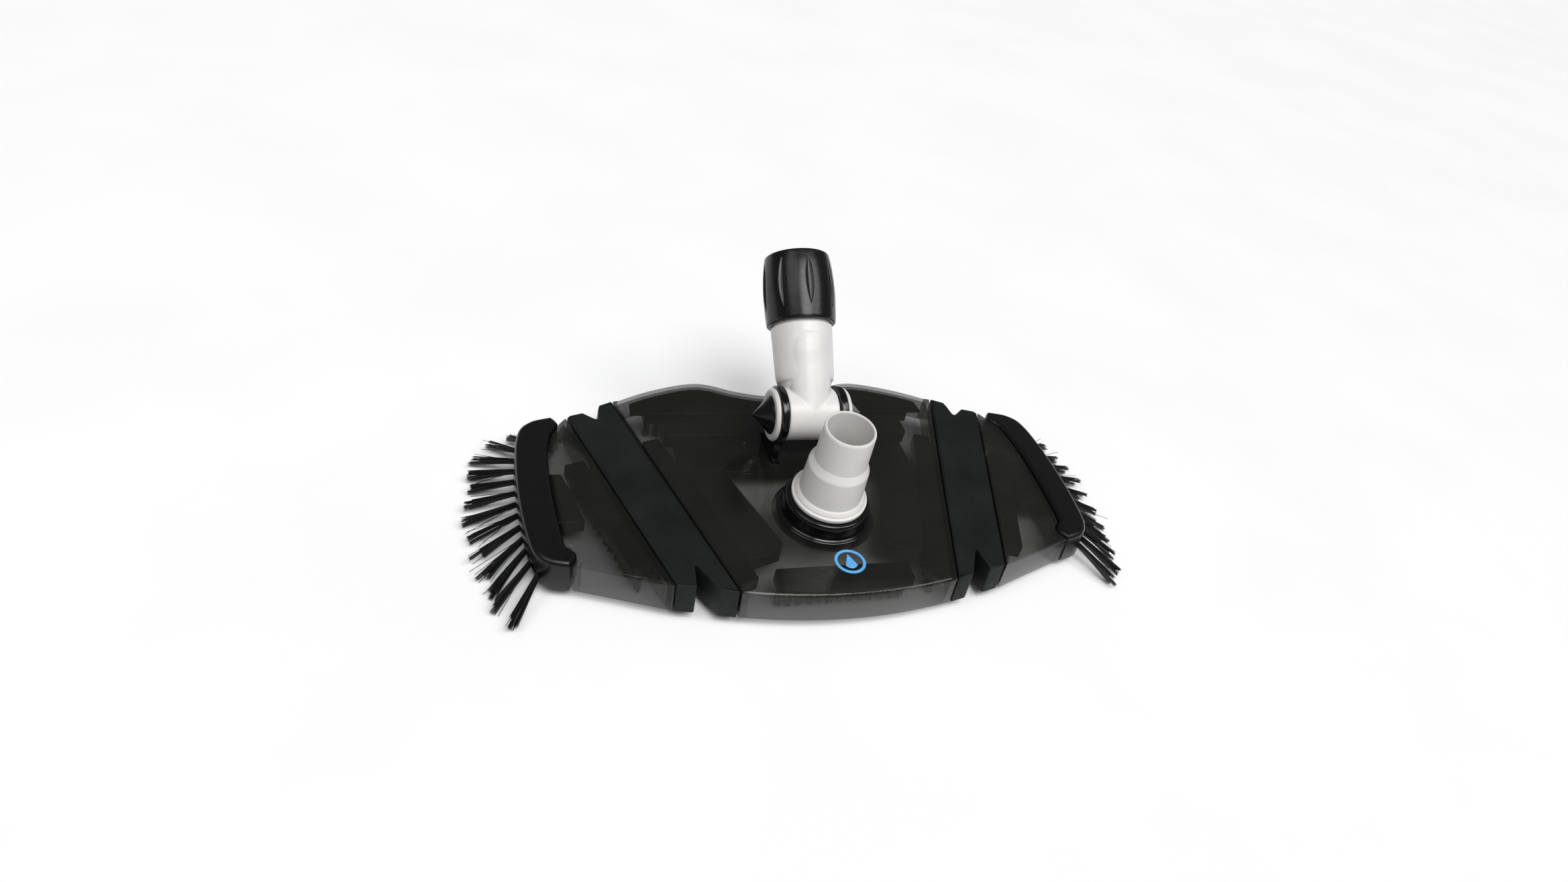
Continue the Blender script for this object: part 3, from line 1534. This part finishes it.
@dataclass
class LockCollar:
    """The black grip collar with lens-shaped flutes."""

    low: float = 59.9
    high: float = 107.0
    flutes: int = 8
    flute_reach: Pair = (68.5, 102.0)
    flute_half_width: float = 3.0
    flute_depth: float = 1.6
    grip_radius: float = 24.0
    shell_radius: float = 21.8
    steps: int = 400

    def profile(self) -> Path:
        """Return the collar's section, with extra rings where the flutes are."""
        outer = curve_through(flat([(23.3, self.low + 1.9), (23.8, 70), (24.15, 80), (23.8, 90), (23.1, 98),
                                    (22.2, self.high - 3.2)]), 18)
        foot = rounded([(21.5, self.low, 0), (23.0, self.low, 1.6), (23.3, self.low + 2.0, 0)], 4, False)
        crown = rounded([(22.2, self.high - 3.2, 0), (21.6, self.high, 2.6), (17.6, self.high, 0.8),
                         (17.2, self.high - 0.6, 0), (17.2, self.high - 2.6, 0), (19.9, self.high - 3.4, 0),
                         (19.9, self.low, 0)], 6, False)
        return [*foot, *outer[1:-1], *crown]

    def dent(self, co: Vector) -> float:
        """Return how deep the flutes are at a point of the outer face."""
        start, end = self.flute_reach
        t = (co.z - start) / (end - start)
        if not 0 < t < 1:
            return 0.0
        lens = math.sin(math.pi * t) ** 0.8
        pitch = 2 * math.pi / self.flutes
        angle = (math.atan2(co.y, co.x) / pitch + 0.5) % 1.0 - 0.5
        across = abs(angle) * pitch * self.grip_radius / max(1e-6, self.flute_half_width * lens)
        return self.flute_depth * lens**0.7 * max(0.0, 1 - across**2)

    def build(self) -> None:
        """Make the collar and press its flutes in."""
        bm = Lathe(self.profile(), self.steps).build()
        for vert in bm.verts:
            far = Vector((vert.co.x, vert.co.y))
            if far.length > self.shell_radius:
                short = far.normalized() * (far.length - self.dent(vert.co))
                vert.co.x, vert.co.y = short
        publish(bm, "lock_collar_grip", SATIN, "lock_collar", ["lock_collar"], HANDLE, 50.0)


@dataclass
class PivotTrim:
    """What holds the handle in the lugs: axle, flanged bushes, pointed caps; and the collet in the socket."""

    flange: float = 17.6
    slit_deg: float = 11.0

    def bush(self) -> BMesh:
        """Return a white flanged bush."""
        return turned(
            [(5, 10.4), (9, 10.4), (9, 17.4), (11, 17.6), (11, 23.1), (self.flange - 0.4, 23.1, 0.5),
             (self.flange, 24.4, 0.7), (self.flange - 1.4, 25.9, 0.8), (12.6, 25.9, 0.5), (12.4, 24.9),
             (8.3, 24.9), (8.3, 19.4), (5, 19.4)], 96,
        )

    def cap(self) -> BMesh:
        """Return a black cap that ends in a point."""
        return turned(
            [(0, 19.8), (8, 19.8), (8, 25.0), (12.7, 25.0, 0.3), (12.9, 26.0, 0.5), (12.2, 27.0, 0.8),
             (6.2, 32.0, 3), (1.6, 36.6, 1), (1.0, 37.5, 0.5), (0, 37.8)], 72, False,
        )

    def build(self) -> None:
        """Make the trim."""
        axle = moved(turned([(0, -19), (4, -19, 0.6), (4, 19, 0.6), (0, 19)], 40, False), ACROSS)
        publish(axle, "axle_pin", STEEL, "handle", ["axle"], HANDLE)
        for side in Side:
            turn = ACROSS if side is Side.RIGHT else MIRROR @ ACROSS
            word = side.word
            bush, cap = moved(self.bush(), turn), moved(self.cap(), turn)
            publish(bush, f"{word}_bush_flange", WHITE, "handle", [f"{word}_pivot_bush"], HANDLE)
            publish(cap, f"{word}_cap_point", SATIN, "handle", [f"{word}_axle_cap"], HANDLE)
        publish(self.collet(), "split_collet", WHITE, "handle", ["collet"], HANDLE)

    def collet(self) -> BMesh:
        """Return the collet: a ring with a narrow slit that faces the rear."""
        corners = [(16.2, 88.4), (19.2, 88.4, 0.4), (19.2, 98, 0.8), (17.6, 103, 0.5), (16.2, 103, 0.4)]
        section = rounded(corners, 3)
        collet = bmesh.new()
        verts = [collet.verts.new((p.x, 0, p.y)) for p in section]
        edges = [collet.edges.new((verts[i - 1], verts[i])) for i in range(len(verts))]
        bmesh.ops.spin(
            collet, geom=[*verts, *edges], cent=(0, 0, 0), axis=(0, 0, 1), dvec=(0, 0, 0),
            angle=math.radians(360 - self.slit_deg), steps=100, use_merge=False, use_duplicate=False,
        )
        ends = [e for e in collet.edges if e.is_boundary]
        bmesh.ops.holes_fill(collet, edges=ends, sides=0)
        return moved(tidy(collet), Matrix.Rotation(math.radians(90 + self.slit_deg / 2), 4, "Z"))


# ---- Studio ----


@dataclass
class Studio:
    """Pale floor, soft lights and the camera."""

    camera_at: Triple = (-229.33, -409.82, 433.86)
    azimuth: float = -23.119
    elevation: float = 37.596
    roll: float = 13.478
    lens: float = 24.0
    floor_gap: float = 0.0003
    lamps: tuple[tuple[str, float, float, float, float], ...] = (
        ("key_softbox", 8, 62, 34, 2.1),
        ("side_softbox", 62, 52, 30, 0.9),
        ("left_softbox", -70, 55, 36, 0.6),
    )
    sky_tone: Triple = (0.93, 0.95, 1.0)
    sky_strength: float = 0.14

    def camera(self) -> None:
        """Place the camera."""
        a, e, r = (math.radians(v) for v in (self.azimuth, self.elevation, self.roll))
        back = Vector((math.sin(a) * math.cos(e), -math.cos(a) * math.cos(e), math.sin(e)))
        right = Vector((math.cos(a), math.sin(a), 0))
        up = back.cross(right)
        tilted_right = right * math.cos(r) + up * math.sin(r)
        tilted_up = up * math.cos(r) - right * math.sin(r)
        data = bpy.data.cameras.new("studio_camera")
        data.lens, data.sensor_width, data.sensor_fit = self.lens, 36.0, "HORIZONTAL"
        data.clip_start = 0.01
        camera = bpy.data.objects.new("studio_camera", data)
        turn = Matrix((tilted_right, tilted_up, back)).transposed().to_4x4()
        camera.matrix_world = Matrix.Translation(HEAD @ Vector(self.camera_at)) @ turn
        bpy.context.scene.collection.objects.link(camera)
        bpy.context.scene.camera = camera

    def light(self, name: str, azimuth: float, elevation: float, width: float, strength: float) -> None:
        """Add a distant soft light.

        Args:
            name: its name.
            azimuth: where it stands, in degrees from the front, towards the right.
            elevation: its height above the floor, in degrees.
            width: the angle that it fills, in degrees.
            strength: its strength, in watts per square metre.
        """
        data = bpy.data.lights.new(name, "SUN")
        data.angle, data.energy = math.radians(width), strength
        lamp = bpy.data.objects.new(name, data)
        a, e = math.radians(azimuth), math.radians(elevation)
        at = Vector((math.sin(a) * math.cos(e), -math.cos(a) * math.cos(e), math.sin(e)))
        lamp.location = at
        lamp.rotation_euler = at.to_track_quat("Z", "Y").to_euler()
        bpy.context.scene.collection.objects.link(lamp)

    def floor(self) -> None:
        """Lay the floor."""
        bm = bmesh.new()
        bmesh.ops.create_grid(bm, x_segments=1, y_segments=1, size=6.0)
        mesh = bpy.data.meshes.new("studio_floor")
        bm.to_mesh(mesh)
        bm.free()
        sheet = NodeSheet("pale_studio_floor")
        tones = [(0.4, (0.91, 0.91, 0.905)), (0.6, (0.93, 0.93, 0.925))]
        sheet.feed("Base Color", sheet.colours(sheet.noise(180.0), tones))
        sheet.set(Roughness=0.65)
        mesh.materials.append(sheet.material)
        floor = bpy.data.objects.new("studio_floor", mesh)
        floor.location.z = -self.floor_gap
        bpy.context.scene.collection.objects.link(floor)

    def build(self) -> None:
        """Set up the studio."""
        self.camera()
        self.floor()
        for lamp in self.lamps:
            self.light(*lamp)
        world = bpy.data.worlds.new("studio_world")
        world.use_nodes = True
        sky = world.node_tree.nodes["Background"]
        sky.inputs["Color"].default_value = (*self.sky_tone, 1.0)
        sky.inputs["Strength"].default_value = self.sky_strength
        bpy.context.scene.world = world
        bpy.context.scene.view_settings.view_transform = "Standard"


def wing_brush(side: Side) -> StraightBrush:
    """Return the slanted brush of one wing."""
    return StraightBrush(
        f"{side.word}_wing", (120.5, 2), (150.5, 95), 13, side.wing, side.placed, steps=(0.62, 0.40),
        seed=20 + side.value,
    )


def rear_carrier(
    inside: float = 4.6, reach: float = 108.0, front: float = 144.0, middle: float = 155.9
) -> Path:
    """Return the outline of the flat plate that fills the rear lobes of the middle shell.

    Args:
        inside: how far it stays inside the shell's rear edge.
        reach: its half width.
        front: y of its front edge.
        middle: y of its rear edge on the middle line.

    Returns:
        The outline.
    """
    rear = curve_through(flat(LINES.rear), 5)
    edge = []
    for here, after in zip(rear, rear[1:]):
        way = (after - here).normalized()
        edge.append(here - Vector((way.y, -way.x)) * inside)
    half = [Vector((reach, front)), *(p for p in edge if 1.0 < p.x < reach), Vector((0, middle))]
    return [*half, *(Vector((-p.x, p.y)) for p in reversed(half[:-1]))]


def inner_brush(side: Side) -> StraightBrush:
    """Return the slanted brush beside one flex band."""
    return StraightBrush(
        f"{side.word}_inner", (60, -14), (98.5, 116), 12, "head", side.placed, seed=10 + side.value
    )


def main() -> None:
    """Build the head, piece by piece."""
    logging.basicConfig(level=logging.INFO, format="%(relativeCreated)6d ms  %(message)s")
    Studio().build()
    MiddleShell().build()
    for side in Side:
        FlexBand(side).build()
        WingShell(side).build()
        EndCap(side).build()
        SideBrush(side).build()
        inner_brush(side).build()
        wing_brush(side).build()
    StraightBrush("rear", (-98, 149), (98, 149), 11, seed=5, carrier=rear_carrier()).build()
    StraightBrush("front", (-43, -13), (43, -13), 15, seed=6).build()
    Weights().build()
    PivotBracket().build()
    Screws().build()
    HoseSwivel().build()
    HandleTee().build()
    LockCollar().build()
    PivotTrim().build()
    for mesh in [mesh for mesh in bpy.data.meshes if mesh.name.startswith(Tuft.strand_name)]:
        bpy.data.meshes.remove(mesh)


if __name__ == "__main__":
    main()
